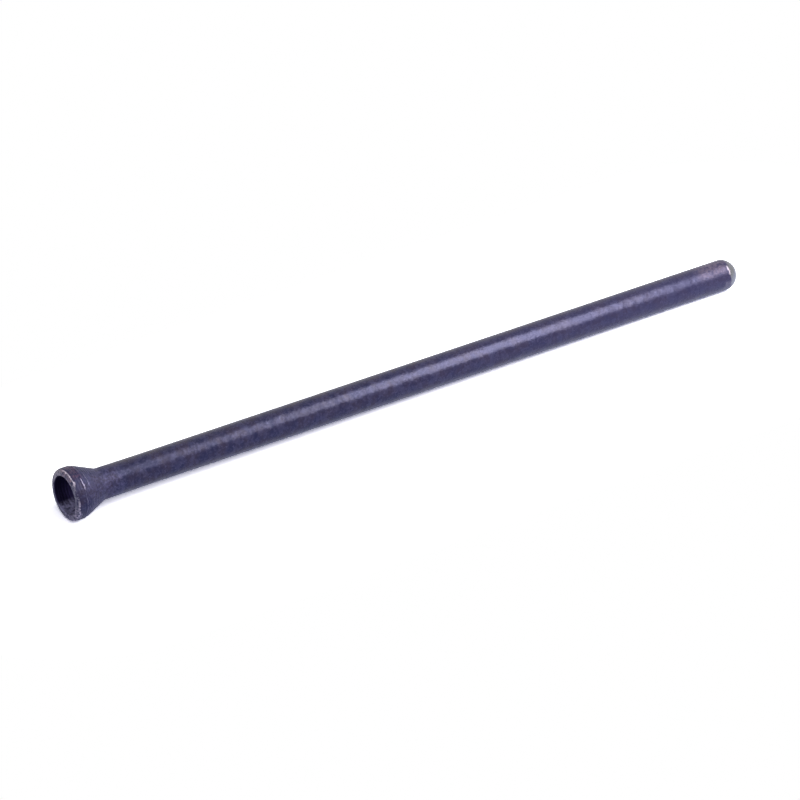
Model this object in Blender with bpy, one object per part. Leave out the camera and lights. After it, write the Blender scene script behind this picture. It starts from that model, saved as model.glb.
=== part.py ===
"""Engine pushrod: one steel bar, with a flared cup at one end and a ball nose at the other.

The rod is a turned outline, spun about its own axis. It lies on a level surface as it would come to rest, on the
widest part of its cup and on the foot of its nose, so its axis falls slightly from the cup to the nose. Lengths
are in metres, and each station is a distance along the axis from the cup's rim.
"""
import math

import bmesh
import bpy

for old in list(bpy.data.objects):
    bpy.data.objects.remove(old, do_unlink=True)

# The rod as a whole
OVERALL_LENGTH = 0.1990
SHANK_DIAMETER = 0.0080

# Behind the cup the bar was upset and is a little thicker, by this much in radius over this length
NECK_SWELL = 0.00008
NECK_LENGTH = 0.0140

# The socket: a round mouth, a short straight lead-in and a half-sphere that seats a ball, then solid steel
MOUTH_DIAMETER = 0.0101
MOUTH_EDGE_RADIUS = 0.0002
SOCKET_LEAD = 0.0016
SEAT_FLOOR = 0.00305

# The cup's wall, and its rim: a narrow flat, a crowned lip that ends in a corner, and a chamfer behind it
CUP_WALL = 0.00174
RIM_FLAT = 0.0005
CORNER_SETBACK = 0.00045
CORNER_DROP = 0.00016
CHAMFER_LENGTH = 0.0006

# The turned band is straight up to its groove, and narrows behind it, down to a small step where the cone starts
BAND_END = 0.0041
BAND_TAPER = 0.00034
GROOVE_TO_BAND_END = 0.00145
GROOVE_WIDTH = 0.0004
GROOVE_FLOOR_WIDTH = 0.00016
GROOVE_DEPTH = 0.00012
STEP_WIDTH = 0.0002
STEP_DEPTH = 0.00006

# How far from the sharp corner each rounded one starts
CHAMFER_BLEND = 0.0003
CONE_FOOT_BLEND = 0.0005

# Faces round the axis, and along each round stretch of the outline
FACETS = 48
SEAT_STEPS = 12
NOSE_STEPS = 12
LIP_STEPS = 5
EDGE_STEPS = 3
SHARP_EDGE_DEG = 25

# Black oxide over steel
STEEL_COLOUR = (0.052, 0.045, 0.083, 1.0)
STEEL_METALLIC = 0.85
STEEL_ROUGHNESS = 0.42

# Radii and stations that follow from the sizes above
shank_radius = SHANK_DIAMETER / 2
mouth_radius = MOUTH_DIAMETER / 2
rim_inner_radius = mouth_radius + MOUTH_EDGE_RADIUS
rim_outer_radius = rim_inner_radius + RIM_FLAT
cup_radius = mouth_radius + CUP_WALL
corner_radius = cup_radius - CORNER_DROP
cone_end = SOCKET_LEAD + mouth_radius + SEAT_FLOOR
nose_start = OVERALL_LENGTH - shank_radius


def arc(station, radius, size, start_deg, end_deg, steps):
    """Points round a circle of the given size, with angles counted from the axis's direction."""
    points = []
    for step in range(steps + 1):
        angle = math.radians(start_deg + (end_deg - start_deg) * step / steps)
        points.append((station + size * math.cos(angle), radius + size * math.sin(angle)))
    return points


def between(start, end, share):
    """The point at a share of the way from one point of the outline to another."""
    return tuple(a + (b - a) * share for a, b in zip(start, end))


def rounded(corners):
    """An outline through (station, radius, blend) corners, each one rounded where its blend isn't 0."""
    points = []
    for index, (station, radius, blend) in enumerate(corners):
        corner = (station, radius)
        if blend == 0:
            points.append(corner)
            continue
        before, after = corners[index - 1][:2], corners[index + 1][:2]
        first = between(corner, before, min(blend / math.dist(corner, before), 0.5))
        last = between(corner, after, min(blend / math.dist(corner, after), 0.5))
        for step in range(EDGE_STEPS + 1):
            share = step / EDGE_STEPS
            points.append(between(between(first, corner, share), between(corner, last, share), share))
    return points


def socket_outline():
    """The half-sphere from its pole to its edge, then the lead-in and the rounded edge of the mouth."""
    seat = arc(SOCKET_LEAD, 0, mouth_radius, 0, 90, SEAT_STEPS)
    return seat + arc(MOUTH_EDGE_RADIUS, rim_inner_radius, MOUTH_EDGE_RADIUS, 270, 180, EDGE_STEPS)


def lip_outline():
    """The crowned lip: an arc that leaves the rim's flat smoothly and stops short of the outer corner."""
    width = corner_radius - rim_outer_radius
    size = (width ** 2 + CORNER_SETBACK ** 2) / (2 * CORNER_SETBACK)
    sweep = 2 * math.degrees(math.atan2(CORNER_SETBACK, width))
    return arc(size, rim_outer_radius, size, 180, 180 - sweep, LIP_STEPS)[:-1]


def body_outline():
    """From the lip's corner along the chamfer, the grooved band, the cone and the neck to the plain shank."""
    groove = BAND_END - GROOVE_TO_BAND_END
    edge, floor = GROOVE_WIDTH / 2, GROOVE_FLOOR_WIDTH / 2
    return rounded([
        (CORNER_SETBACK, corner_radius, 0),
        (CORNER_SETBACK + CHAMFER_LENGTH, cup_radius, CHAMFER_BLEND),
        (groove - edge, cup_radius, 0),
        (groove - floor, cup_radius - GROOVE_DEPTH, 0),
        (groove + floor, cup_radius - GROOVE_DEPTH, 0),
        (groove + edge, cup_radius, 0),
        (BAND_END, cup_radius - BAND_TAPER, 0),
        (BAND_END + STEP_WIDTH, cup_radius - BAND_TAPER - STEP_DEPTH, 0),
        (cone_end, shank_radius + NECK_SWELL, CONE_FOOT_BLEND),
        (cone_end + NECK_LENGTH, shank_radius, 0),
    ])


def nose_outline():
    """The ball nose: a half-sphere of the shank's own radius, down to its pole."""
    return arc(nose_start, 0, shank_radius, 90, 0, NOSE_STEPS)


def turned(outline, name):
    """Spins an outline about the X axis. Its facets touch the true surface, and one of them faces straight down."""
    half_facet = math.pi / FACETS
    work = bmesh.new()
    verts = [work.verts.new((station, radius * math.tan(half_facet), radius)) for station, radius in outline]
    edges = [work.edges.new(pair) for pair in zip(verts, verts[1:])]
    bmesh.ops.spin(work, geom=verts + edges, cent=(0, 0, 0), axis=(1, 0, 0), dvec=(0, 0, 0),
                   angle=2 * math.pi, steps=FACETS, use_merge=True, use_duplicate=False)
    bmesh.ops.remove_doubles(work, verts=work.verts, dist=1e-6)
    bmesh.ops.recalc_face_normals(work, faces=work.faces)
    mesh = bpy.data.meshes.new(name)
    work.to_mesh(mesh)
    work.free()
    mesh.shade_smooth()
    mesh.set_sharp_from_angle(angle=math.radians(SHARP_EDGE_DEG))
    return mesh


def black_oxide_steel():
    """A dark violet-black oxide skin on steel, half glossy."""
    material = bpy.data.materials.new("black_oxide_steel")
    material.use_nodes = True
    material.diffuse_color = STEEL_COLOUR
    shader = material.node_tree.nodes["Principled BSDF"]
    shader.inputs["Base Color"].default_value = STEEL_COLOUR
    shader.inputs["Metallic"].default_value = STEEL_METALLIC
    shader.inputs["Roughness"].default_value = STEEL_ROUGHNESS
    return material


def lay_down(rod, outline):
    """Rests the rod on its cup and on the foot of its nose, with its middle over the origin."""
    slope = max((radius - shank_radius) / (nose_start - station)
                for station, radius in outline if station < nose_start)
    tilt = math.atan(slope)
    along, down = math.cos(tilt), math.sin(tilt)
    cup_side = min(station * along - radius * down for station, radius in outline)
    nose_side = max(station * along + radius * down for station, radius in outline)
    lowest = max(station * down + radius * along for station, radius in outline)
    rod.rotation_euler = (0, tilt, 0)
    rod.location = (-(cup_side + nose_side) / 2, 0, lowest)


def pushrod():
    """The whole rod: socket, lip, band, cone, shank and nose in one outline, turned as one piece."""
    outline = socket_outline() + lip_outline() + body_outline() + nose_outline()
    mesh = turned(outline, "pushrod")
    mesh.materials.append(black_oxide_steel())
    rod = bpy.data.objects.new("pushrod", mesh)
    bpy.context.scene.collection.objects.link(rod)
    lay_down(rod, outline)


pushrod()
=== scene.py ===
import math

import bmesh
import bpy
from mathutils import Matrix, Vector, noise


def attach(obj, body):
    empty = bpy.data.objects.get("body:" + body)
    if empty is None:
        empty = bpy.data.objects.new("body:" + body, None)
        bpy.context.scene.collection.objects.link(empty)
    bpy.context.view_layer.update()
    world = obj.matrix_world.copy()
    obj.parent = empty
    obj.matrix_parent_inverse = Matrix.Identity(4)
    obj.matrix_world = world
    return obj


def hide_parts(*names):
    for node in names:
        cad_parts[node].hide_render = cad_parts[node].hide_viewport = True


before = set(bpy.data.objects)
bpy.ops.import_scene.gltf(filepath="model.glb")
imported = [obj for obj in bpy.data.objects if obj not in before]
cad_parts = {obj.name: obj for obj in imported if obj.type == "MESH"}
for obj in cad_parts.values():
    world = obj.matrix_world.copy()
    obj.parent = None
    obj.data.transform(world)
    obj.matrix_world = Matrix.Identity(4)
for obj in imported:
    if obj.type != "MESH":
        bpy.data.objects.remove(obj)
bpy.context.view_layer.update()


# Pushrod: one solid steel bar. One end was heated, upset into a flared cup, turned outside and bored with a
# round socket, the other was turned to a ball, and the whole bar was blackened in a hot oxide bath and oiled.
# Nothing is fixed to it. Sizes are in metres, and a station is a distance along the axis from the cup's rim.
OVERALL_LENGTH = 0.1990
SHANK_RADIUS = 0.0040
NOSE_STATION = OVERALL_LENGTH - SHANK_RADIUS

# The socket, and the rounded edge of its mouth
MOUTH_RADIUS = 0.00505
MOUTH_EDGE = 0.0002
SOCKET_LEAD = 0.0016
SOCKET_DEPTH = SOCKET_LEAD + MOUTH_RADIUS

# The cup: the rim's flat, the lip's corner, and where the chamfer behind it ends
CUP_RADIUS = 0.00679
RIM_FLAT = 0.0005
RIM_INNER = MOUTH_RADIUS + MOUTH_EDGE
RIM_OUTER = RIM_INNER + RIM_FLAT
LIP_DROP = 0.00016
LIP_STATION = 0.00045
LIP_RADIUS = CUP_RADIUS - LIP_DROP
CHAMFER_STATION = 0.00105
CHAMFER_BLEND = 0.0003

# The band round the cup, with its groove, and the small step at its end
GROOVE_STATION = 0.00265
GROOVE_HALF = 0.0002
GROOVE_FLOOR_HALF = 0.00008
GROOVE_DEPTH = 0.00012
GROOVE_FLOOR_RADIUS = CUP_RADIUS - GROOVE_DEPTH
BAND_STATION = 0.0041
BAND_RADIUS = 0.00645
STEP_WIDTH = 0.0002
STEP_DEPTH = 0.00006
STEP_RADIUS = BAND_RADIUS - STEP_DEPTH
EDGE_BLEND = 0.00003

# The cone's foot, and the neck that thins out to the plain shank
CONE_STATION = 0.0097
CONE_FOOT_BLEND = 0.0005
NECK_SWELL = 0.00008
NECK_RADIUS = SHANK_RADIUS + NECK_SWELL
NECK_STATION = 0.0237

# Faces round the axis, and along a quarter of a circle in the outline
FACETS = 240
QUARTER_STEPS = 24

outline = bmesh.new()


def straight(pen, *corners):
    """Draws straight runs from the pen through (station, radius) corners, and returns the new vertices."""
    drawn = []
    for station, radius in corners:
        vert = outline.verts.new((station, 0, radius))
        outline.edges.new((pen, vert))
        drawn.append(vert)
        pen = vert
    return drawn


def swing(pen, station, radius, degrees, steps):
    """Swings the pen round a centre, leaves an arc behind it, and returns the arc's last vertex."""
    swung = bmesh.ops.spin(outline, geom=[pen], cent=(station, 0, radius), axis=(0, 1, 0), dvec=(0, 0, 0),
                           angle=math.radians(degrees), steps=steps, use_duplicate=False)
    return swung["geom_last"][0]


def soften(verts, size, steps):
    """Rounds corners of the outline, from this far before each one to this far after it."""
    bmesh.ops.bevel(outline, geom=verts, offset=size, offset_type="OFFSET", segments=steps, profile=0.5,
                    affect="VERTICES", material=-1)


# The socket's half-sphere from its pole, its lead-in, the rounded edge of the mouth, and the rim's flat
pen = outline.verts.new((SOCKET_DEPTH, 0, 0))
pen = swing(pen, SOCKET_LEAD, 0, degrees=-90, steps=QUARTER_STEPS)
pen = straight(pen, (MOUTH_EDGE, MOUTH_RADIUS))[-1]
pen = swing(pen, MOUTH_EDGE, RIM_INNER, degrees=90, steps=5)
pen = straight(pen, (0, RIM_OUTER))[-1]

# The crowned lip leaves the flat smoothly and ends in a corner
lip_width = LIP_RADIUS - RIM_OUTER
crown_radius = (lip_width ** 2 + LIP_STATION ** 2) / (2 * LIP_STATION)
crown_sweep = 2 * math.degrees(math.atan2(LIP_STATION, lip_width))
pen = swing(pen, crown_radius, RIM_OUTER, degrees=crown_sweep, steps=8)

# The chamfer, the band with its groove, the small step, the cone, the neck, the shank and the ball nose
chamfer, *band_edges, foot, _, nose = straight(
    pen,
    (CHAMFER_STATION, CUP_RADIUS),
    (GROOVE_STATION - GROOVE_HALF, CUP_RADIUS),
    (GROOVE_STATION - GROOVE_FLOOR_HALF, GROOVE_FLOOR_RADIUS),
    (GROOVE_STATION + GROOVE_FLOOR_HALF, GROOVE_FLOOR_RADIUS),
    (GROOVE_STATION + GROOVE_HALF, CUP_RADIUS),
    (BAND_STATION, BAND_RADIUS),
    (BAND_STATION + STEP_WIDTH, STEP_RADIUS),
    (CONE_STATION, NECK_RADIUS),
    (NECK_STATION, SHANK_RADIUS),
    (NOSE_STATION, SHANK_RADIUS))
swing(nose, NOSE_STATION, 0, degrees=90, steps=QUARTER_STEPS)
soften([chamfer], CHAMFER_BLEND, steps=5)
soften([foot], CONE_FOOT_BLEND, steps=6)
soften(band_edges, EDGE_BLEND, steps=2)

# Long runs are cut, so that the smooth shading of their ends doesn't reach along them
LONG_RUN = 0.0008
CUT_SPACING = 0.003
for edge in [e for e in outline.edges if e.calc_length() > LONG_RUN]:
    cuts = int(edge.calc_length() / CUT_SPACING) + 3
    bmesh.ops.subdivide_edges(outline, edges=[edge], cuts=cuts)

# On a flat surface the rod rests on the widest part of its cup and on the foot of its nose. The last
# millimetre before the nose is left out, because a slope over so short a run says nothing.
before_nose = [v.co for v in outline.verts if v.co.x < NOSE_STATION - 0.001]
tilt = math.atan(max((point.z - SHANK_RADIUS) / (NOSE_STATION - point.x) for point in before_nose))
bmesh.ops.spin(outline, geom=outline.verts[:] + outline.edges[:], cent=(0, 0, 0), axis=(1, 0, 0),
               dvec=(0, 0, 0), angle=2 * math.pi, steps=FACETS, use_merge=True, use_duplicate=False)
bmesh.ops.remove_doubles(outline, verts=outline.verts, dist=1e-6)
bmesh.ops.recalc_face_normals(outline, faces=outline.faces)
outline.normal_update()

# Knocks have flattened the lip's corner by a few hundredths of a millimetre, unevenly, about 1 mm apart
KNOCK_REACH = 0.0004
KNOCK_DEPTH = 0.00006
KNOCKS_PER_METRE = 900
for vert in outline.verts:
    reach = abs(vert.co.x - LIP_STATION) / KNOCK_REACH
    if reach < 1 and vert.co.yz.length > RIM_OUTER:
        knock = max(0, noise.noise(vert.co * KNOCKS_PER_METRE) + 0.15)
        vert.co -= vert.normal * KNOCK_DEPTH * knock * (1 - reach)

# Laid down, with its middle over the origin and its underside on the ground
bmesh.ops.rotate(outline, verts=outline.verts, cent=(0, 0, 0), matrix=Matrix.Rotation(tilt, 3, "Y"))
along_x = [v.co.x for v in outline.verts]
lowest = min(v.co.z for v in outline.verts)
rest = Vector((-(min(along_x) + max(along_x)) / 2, 0, -lowest))
bmesh.ops.translate(outline, verts=outline.verts, vec=rest)


def finished(shape, name):
    """Turns a bmesh into an object of this name in the scene, and returns it."""
    mesh = bpy.data.meshes.new(name)
    shape.to_mesh(mesh)
    shape.free()
    piece = bpy.data.objects.new(name, mesh)
    bpy.context.scene.collection.objects.link(piece)
    return piece


rod = finished(outline, "turned_pushrod")
rod.data.shade_smooth()
rod.data.set_sharp_from_angle(angle=math.radians(35))


def linear(hex_colour):
    """An sRGB hex value as the linear colour that a shader works in."""
    channels = [int(hex_colour[i:i + 2], 16) / 255 for i in (1, 3, 5)]
    return tuple(c / 12.92 if c <= 0.04045 else ((c + 0.055) / 1.055) ** 2.4 for c in channels) + (1.0,)


def blank_tree(owner):
    """Gives a material or a world a node tree with nothing in it, and returns that."""
    owner.use_nodes = True
    owner.node_tree.nodes.clear()
    return owner.node_tree


def add(tree, kind, inputs, **settings):
    """Adds a node with its settings. Its inputs, by name or number, get values or other nodes' outputs."""
    node = tree.nodes.new("ShaderNode" + kind)
    for name, value in settings.items():
        setattr(node, name, value)
    for key, value in inputs.items():
        if isinstance(value, bpy.types.NodeSocket):
            tree.links.new(value, node.inputs[key])
        else:
            node.inputs[key].default_value = value
    return node


# Hot black oxide on turned steel: a thin indigo-black skin under a film of oil, half glossy and finely
# grained, which gives a broad stripe of light with a ragged edge. It has worn through to grey metal on the
# sharp corners, on the rim, and on the nose where that works in its seat.
# Light and shade are also painted on in places, as said where each is laid on: the skin paler towards the
# nose, highlights of the lamps on the cone, groove, step and nose, shade along the stripe on two stretches of
# the shank, and the socket's painted dark and lit inside.
oxide = bpy.data.materials.new("black_oxide_steel")
tree = blank_tree(oxide)

# The rod's own axes: X is the station, the axis runs through Y = Z = 0, and a bearing of 0 is the rod's top
place = add(tree, "TexCoord", {}).outputs["Object"]
unlaid = Matrix.Rotation(-tilt, 3, "Y") @ rest
axes = add(tree, "Mapping", {"Vector": place, "Location": -unlaid, "Rotation": (0, -tilt, 0)}).outputs[0]
split = add(tree, "SeparateXYZ", {"Vector": axes})
station = split.outputs["X"]
radial = add(tree, "VectorMath", {0: axes, 1: (0, 1, 1)}, operation="MULTIPLY").outputs[0]
radius = add(tree, "VectorMath", {0: radial}, operation="LENGTH").outputs["Value"]
bearing = add(tree, "Math", {0: split.outputs["Y"], 1: split.outputs["Z"]}, operation="ARCTAN2").outputs[0]

# The socket is what lies within its mouth's radius and its depth, with 0.1 and 0.2 mm to spare
bored = add(tree, "Math", {0: radius, 1: MOUTH_RADIUS + 0.0001}, operation="LESS_THAN").outputs[0]
in_cup = add(tree, "Math", {0: station, 1: SOCKET_DEPTH + 0.0002}, operation="LESS_THAN").outputs[0]
in_socket = add(tree, "Math", {0: bored, 1: in_cup}, operation="MULTIPLY").outputs[0]
outside = add(tree, "Math", {0: 1.0, 1: in_socket}, operation="SUBTRACT").outputs[0]

# Six patterns, each with the size of its features in mm, its detail and its roughness. The grain is drawn
# coarser than the real 0.05 mm, so that it shows.
pattern = {}
for name, feature, detail, rough in (
        ("drift", 4, 2.0, 0.5), ("waves", 3, 2.0, 0.5), ("mottle", 1.5, 3.0, 0.6),
        ("chips", 0.7, 4.0, 0.65), ("grain", 0.6, 4.0, 0.7), ("speckle", 0.5, 3.0, 0.7)):
    pattern[name] = add(tree, "TexNoise", {"Vector": axes, "Scale": 1000 / feature, "Detail": detail,
                                           "Roughness": rough}).outputs[0]

# The skin drifts between indigo and a browner tone, and is mottled and speckled. Towards the nose it is
# painted paler: painted light that stands for the brighter light on the nose's half
surface = linear("#0D0F3E")
for source, low_end, high_end, share, tone in (
        (pattern["drift"], 0.40, 0.60, 1.0, "#22193A"), (station, 0.08, 0.20, 0.55, "#3C385E"),
        (pattern["mottle"], 0.44, 0.66, 0.6, "#353459"), (pattern["speckle"], 0.50, 0.72, 0.65, "#4B486B")):
    amount = add(tree, "MapRange", {"Value": source, "From Min": low_end, "From Max": high_end,
                                    "To Max": share}).outputs[0]
    surface = add(tree, "Mix", {0: amount, 6: surface, 7: linear(tone)}, data_type="RGBA").outputs[2]

# What has happened to the skin since, and light and shade painted on it, laid over it patch by patch. A patch
# runs between two stations in mm, with this much blur there, and to this many degrees on each side of a
# bearing. Its border wavers by about 0.1 mm, and chips break it up: the next number is how much of it they
# take. Then come its share, its colour and how metallic it is. The skin itself is much less metallic than the
# steel under it.
waver = add(tree, "MapRange", {"Value": pattern["mottle"], "To Min": -0.0004, "To Max": 0.0004}).outputs[0]
wavering = add(tree, "Math", {0: station, 1: waver}, operation="ADD").outputs[0]
metal = 0.3
for first, last, blur, facing, spread, taken, share, tone, metallic in (
        # A plum stain on top of the band, in front of the groove
        (1.0, 3.4, 0.4, 2, 28, 0.44, 0.75, "#5E4460", 0.3),
        # The rim and the lip: rubbed grey all round, warmer on top, paler beside that and low in front
        (-1.0, 0.45, 0.1, 0, 180, 0.40, 0.95, "#716D82", 0.4),
        (-1.0, 0.60, 0.1, 8, 40, 0.46, 0.8, "#84687A", 0.4),
        (-1.0, 0.30, 0.1, 44, 26, 0.36, 0.85, "#8F8896", 0.5),
        (-1.0, 0.50, 0.1, -140, 46, 0.50, 0.85, "#A695AC", 0.8),
        # The lip's corner and the chamfer, knocked and worn to bright metal
        (0.34, 0.57, 0.06, -13, 27, 0.36, 0.95, "#D2C8DC", 1.0),
        (0.34, 0.85, 0.12, -36, 5, 0.40, 0.75, "#C4BAD0", 1.0),
        (0.34, 0.64, 0.06, -114, 34, 0.40, 0.95, "#C4BAD0", 1.0),
        (0.50, 1.30, 0.20, -126, 24, 0.42, 0.6, "#8A84A0", 0.7),
        (0.38, 0.58, 0.06, 110, 80, 0.50, 0.7, "#8F879E", 1.0),
        # The groove and the small step. The groove's patch low in front is bright metal; its brighter mark
        # higher up and the one on the step are painted highlights, where the lamps glint
        (2.56, 2.80, 0.06, -41, 13, 0.30, 0.75, "#ACA4C0", 1.0),
        (2.55, 2.80, 0.08, -100, 36, 0.34, 0.6, "#7C789A", 0.8),
        (4.04, 4.26, 0.10, -32, 15, 0.36, 0.6, "#908AA6", 0.9),
        # The cone, painted a little paler in front as a painted highlight of the lamps, and two stretches of
        # the shank with painted shade along the stripe of light, which dims the stripe there
        (3.00, 15.0, 0.80, -44, 84, 0.46, 0.5, "#54507A", 0.4),
        (62.0, 78.0, 4.0, -46, 18, 0.34, 0.6, "#1E1B40", 0.3),
        (145.0, 165.0, 5.0, -46, 18, 0.40, 0.4, "#26224A", 0.3),
        # A plum-grey rub on top towards the nose, partly wear and partly a painted highlight where the stripe
        # of light ends, and a light one in front
        (187.0, 195.6, 1.6, 2, 50, 0.38, 0.7, "#6C6076", 0.45),
        (193.6, 195.4, 0.25, -98, 14, 0.40, 0.4, "#858194", 0.9),
        # The ball end, polished by its seat, and its bright edge in front; the near-white line at that edge
        # is a painted highlight, the lamps' glint
        (196.0, 205.0, 0.12, 0, 180, 0.20, 0.9, "#81828F", 1.0),
        (195.5, 205.0, 0.12, -66, 40, 0.20, 0.9, "#85868F", 1.0),
        (195.30, 195.66, 0.08, -44, 17, 0.24, 0.85, "#D2C6D8", 1.0)):
    rise = add(tree, "MapRange", {"Value": wavering, "From Min": (first - blur) / 1000,
                                  "From Max": (first + blur) / 1000}).outputs[0]
    fall = add(tree, "MapRange", {"Value": wavering, "From Min": (last + blur) / 1000,
                                  "From Max": (last - blur) / 1000}).outputs[0]
    turn = add(tree, "Math", {0: bearing, 1: math.radians(facing)}, operation="SUBTRACT").outputs[0]
    turn = add(tree, "Math", {0: turn, 1: math.pi, 2: -math.pi}, operation="WRAP").outputs[0]
    turn = add(tree, "Math", {0: turn}, operation="ABSOLUTE").outputs[0]
    beside = add(tree, "MapRange", {"Value": turn, "From Min": math.radians(spread * 1.2),
                                    "From Max": math.radians(spread * 0.8), "To Max": share}).outputs[0]
    left = add(tree, "MapRange", {"Value": pattern["chips"], "From Min": taken,
                                  "From Max": taken + 0.16}).outputs[0]
    cover = outside
    for part in (rise, fall, beside, left):
        cover = add(tree, "Math", {0: cover, 1: part}, operation="MULTIPLY").outputs[0]
    surface = add(tree, "Mix", {0: cover, 6: surface, 7: linear(tone)}, data_type="RGBA").outputs[2]
    metal = add(tree, "Mix", {0: cover, 2: metal, 3: metallic}).outputs[0]

# Inside the socket the colour is painted near black, painted shade for the hollow, and along its bottom
# near the mouth a violet-grey painted light, where light falls in through the mouth, which begins at bearings
# of 2.4 to 2.7 radians on both sides. The painted dark is set as a metal of its own dark colour, so that it
# mirrors no more light than that.
low_side = add(tree, "Math", {0: bearing}, operation="ABSOLUTE").outputs[0]
low_side = add(tree, "MapRange", {"Value": low_side, "From Min": 2.4, "From Max": 2.7}).outputs[0]
near_mouth = add(tree, "MapRange", {"Value": station, "From Min": 0.005, "From Max": 0.003}).outputs[0]
lit_wall_breakup = add(tree, "MapRange", {"Value": pattern["chips"], "From Min": 0.30, "From Max": 0.56}).outputs[0]
painted_lit_wall = add(tree, "Math", {0: low_side, 1: near_mouth}, operation="MULTIPLY").outputs[0]
painted_lit_wall = add(tree, "Math", {0: painted_lit_wall, 1: lit_wall_breakup}, operation="MULTIPLY").outputs[0]
socket_shade_and_light = add(tree, "Mix", {0: painted_lit_wall, 6: linear("#231E3C"), 7: linear("#8884AC")}, data_type="RGBA").outputs[2]
surface = add(tree, "Mix", {0: in_socket, 6: surface, 7: socket_shade_and_light}, data_type="RGBA").outputs[2]
painted_shade_metallic = add(tree, "Math", {0: 1.0, 1: painted_lit_wall}, operation="SUBTRACT").outputs[0]
metal = add(tree, "Mix", {0: in_socket, 2: metal, 3: painted_shade_metallic}).outputs[0]

# Relief: shallow waves, a satin grain, and on the band and the cone the turning tool's rings. A wave texture
# of scale 1 has its rings 0.314 apart.
RING_SPACING = 0.0007
along = add(tree, "CombineXYZ", {"X": wavering}).outputs[0]
rings = add(tree, "TexWave", {"Vector": along, "Scale": 0.314 / RING_SPACING,
                              "Distortion": 0.0}).outputs["Fac"]
on_cone = add(tree, "MapRange", {"Value": station, "From Min": 0.008, "From Max": 0.006}).outputs[0]
rings = add(tree, "Math", {0: rings, 1: on_cone}, operation="MULTIPLY").outputs[0]
relief = None
for height, depth in ((pattern["waves"], 0.00015), (pattern["grain"], 0.00005), (rings, 0.00005)):
    bump = {"Height": height, "Strength": 1.0, "Distance": depth}
    if relief is not None:
        bump["Normal"] = relief
    relief = add(tree, "Bump", bump).outputs[0]

# The oiled shank is the smoothest. Upsetting left the cup's end duller, and the socket, painted dark as
# shade, is dull.
SOCKET_ROUGHNESS = 0.6
roughness = add(tree, "MapRange", {"Value": pattern["mottle"], "From Min": 0.3, "From Max": 0.7,
                                   "To Min": 0.22, "To Max": 0.32}).outputs[0]
upset_haze = add(tree, "MapRange", {"Value": station, "From Min": 0.015, "From Max": 0.011,
                                    "To Max": 0.22}).outputs[0]
roughness = add(tree, "Math", {0: roughness, 1: upset_haze}, operation="ADD").outputs[0]
roughness = add(tree, "Mix", {0: in_socket, 2: roughness, 3: SOCKET_ROUGHNESS}).outputs[0]
shader = add(tree, "BsdfPrincipled", {"Base Color": surface, "Metallic": metal, "Roughness": roughness,
                                      "Specular IOR Level": 0.42, "Normal": relief})
add(tree, "OutputMaterial", {"Surface": shader.outputs[0]})
rod.data.materials.append(oxide)

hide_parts("pushrod")
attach(rod, "root")


# Studio table: a sheet of matt white card that the rod lies on. It shows as plain white from 60 mm away
# from the rod on, and the soft shadow shows in full within 20 mm of it.
table_shape = bmesh.new()
bmesh.ops.create_circle(table_shape, cap_ends=True, segments=96, radius=3.0)
table = finished(table_shape, "table")

card = bpy.data.materials.new("white_card")
tree = blank_tree(card)
spot = add(tree, "SeparateXYZ", {0: add(tree, "TexCoord", {}).outputs["Object"]})
past_end = add(tree, "Math", {0: spot.outputs["X"]}, operation="ABSOLUTE").outputs[0]
past_end = add(tree, "Math", {0: past_end, 1: OVERALL_LENGTH / 2}, operation="SUBTRACT").outputs[0]
past_end = add(tree, "Math", {0: past_end, 1: 0.0}, operation="MAXIMUM").outputs[0]
away = add(tree, "CombineXYZ", {0: past_end, 1: spot.outputs["Y"]}).outputs[0]
away = add(tree, "VectorMath", {0: away}, operation="LENGTH").outputs["Value"]
far = add(tree, "MapRange", {"Value": away, "From Min": 0.02, "From Max": 0.06}).outputs[0]
white = add(tree, "Emission", {"Color": (1, 1, 1, 1)}).outputs[0]
lit = add(tree, "BsdfDiffuse", {"Color": (0.8, 0.8, 0.8, 1)}).outputs[0]

# In the rod's gloss it has its own brightness, a little blue. The camera, set for a dark object, takes it
# three times as bright.
mirrored = add(tree, "Emission", {"Color": (0.13, 0.17, 0.34, 1)}).outputs[0]
mirrored = add(tree, "AddShader", {0: mirrored, 1: lit}).outputs[0]
burnt_out = add(tree, "Emission", {"Color": (0.0, 0.0, 0.06, 1)}).outputs[0]
for _ in range(3):
    burnt_out = add(tree, "AddShader", {0: burnt_out, 1: lit}).outputs[0]


def shown_by_ray(tree, plain, in_gloss, in_view):
    """One look for the light that falls on the rod, one for its gloss, and one for the camera."""
    path = add(tree, "LightPath", {})
    glossy = add(tree, "Math", {0: path.outputs["Is Glossy Ray"], 1: path.outputs["Is Transmission Ray"]},
                 operation="MAXIMUM").outputs[0]
    shown = add(tree, "MixShader", {0: glossy, 1: plain, 2: in_gloss}).outputs[0]
    return add(tree, "MixShader", {0: path.outputs["Is Camera Ray"], 1: shown, 2: in_view}).outputs[0]


mirrored = add(tree, "MixShader", {0: far, 1: mirrored, 2: white}).outputs[0]
burnt_out = add(tree, "MixShader", {0: far, 1: burnt_out, 2: white}).outputs[0]
add(tree, "OutputMaterial", {"Surface": shown_by_ray(tree, lit, mirrored, burnt_out)})
table.data.materials.append(card)


# Studio light: an even white room, a long softbox whose reflection is the pale stripe along the top, a
# stronger one over the nose's half, which brightens the stripe there, a small one in front of the cup, and a
# wide matt reflector in front, too dull to show in the gloss, which keeps the shadow short on that side.
world = bpy.data.worlds.new("white_room")
bpy.context.scene.world = world
tree = blank_tree(world)
plain = add(tree, "Background", {"Color": (1, 1, 1, 1), "Strength": 0.25}).outputs[0]
in_gloss = add(tree, "Background", {"Color": (1.0, 0.985, 0.93, 1), "Strength": 1.0}).outputs[0]
in_view = add(tree, "Background", {"Color": (1, 1, 1, 1), "Strength": 1.0}).outputs[0]
add(tree, "OutputWorld", {"Surface": shown_by_ray(tree, plain, in_gloss, in_view)})


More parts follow.
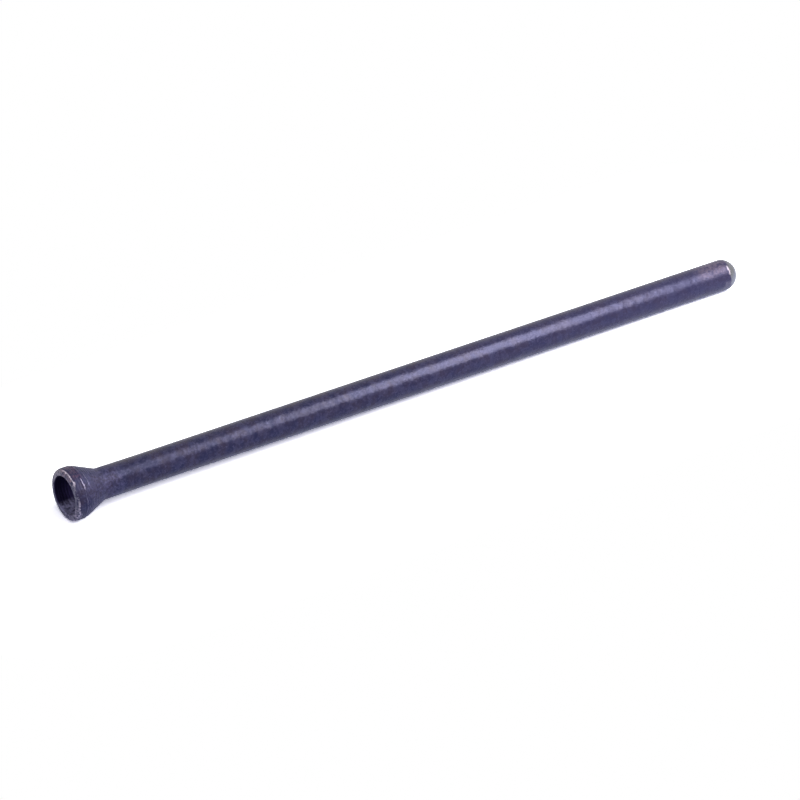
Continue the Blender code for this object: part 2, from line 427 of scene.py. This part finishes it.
def softbox(name, aim, direction, distance, length, width, radiance):
    """An area lamp over a point of the rod. Its length runs along the rod, and it looks this bright there."""
    away = Vector(direction).normalized()
    along = (Vector((1, 0, 0)) - away * away.x).normalized()
    lamp = bpy.data.lights.new(name, "AREA")
    lamp.shape = "RECTANGLE"
    lamp.size = length
    lamp.size_y = width
    lamp.energy = radiance * math.pi * length * width
    box = bpy.data.objects.new(name, lamp)
    bpy.context.scene.collection.objects.link(box)
    box.location = Vector(aim) + away * distance
    box.rotation_euler = Matrix((along, away.cross(along), away)).transposed().to_euler()
    box.visible_camera = False
    return box


OVERHEAD = (0.461, -0.423, 0.780)
softbox("long_softbox", aim=(0.01, 0, 0.005), direction=OVERHEAD, distance=0.45,
        length=0.34, width=0.382, radiance=1.55)
softbox("near_softbox", aim=(0.029, 0, 0.005), direction=OVERHEAD, distance=0.26,
        length=0.074, width=0.221, radiance=9.9)
softbox("cup_softbox", aim=(-0.098, 0, 0.007), direction=(-0.70, -0.50, 0.50), distance=0.40,
        length=0.20, width=0.20, radiance=3.0)
reflector = softbox("front_reflector", aim=(-0.02, 0, 0), direction=(-0.15, -0.71, 0.69), distance=0.80,
                    length=0.60, width=0.40, radiance=2.1)
reflector.visible_glossy = False


# Camera: a long lens looks down on the rod from two metres away, with the cup near on the left and the nose
# further off on the right.
AZIMUTH = math.radians(-32.756)
ELEVATION = math.radians(33.135)
DISTANCE = 2.0
AIM = Vector((-0.023554, -0.033610, 0.026437))
back = Vector((math.sin(AZIMUTH) * math.cos(ELEVATION), -math.cos(AZIMUTH) * math.cos(ELEVATION),
               math.sin(ELEVATION)))
lens = bpy.data.cameras.new("camera")
lens.sensor_width = 36
lens.lens = 368.1
lens.clip_end = 20
camera = bpy.data.objects.new("camera", lens)
bpy.context.scene.collection.objects.link(camera)
camera.location = AIM + back * DISTANCE
camera.rotation_euler = back.to_track_quat("Z", "Y").to_euler()
bpy.context.scene.camera = camera
bpy.context.scene.view_settings.view_transform = "Standard"
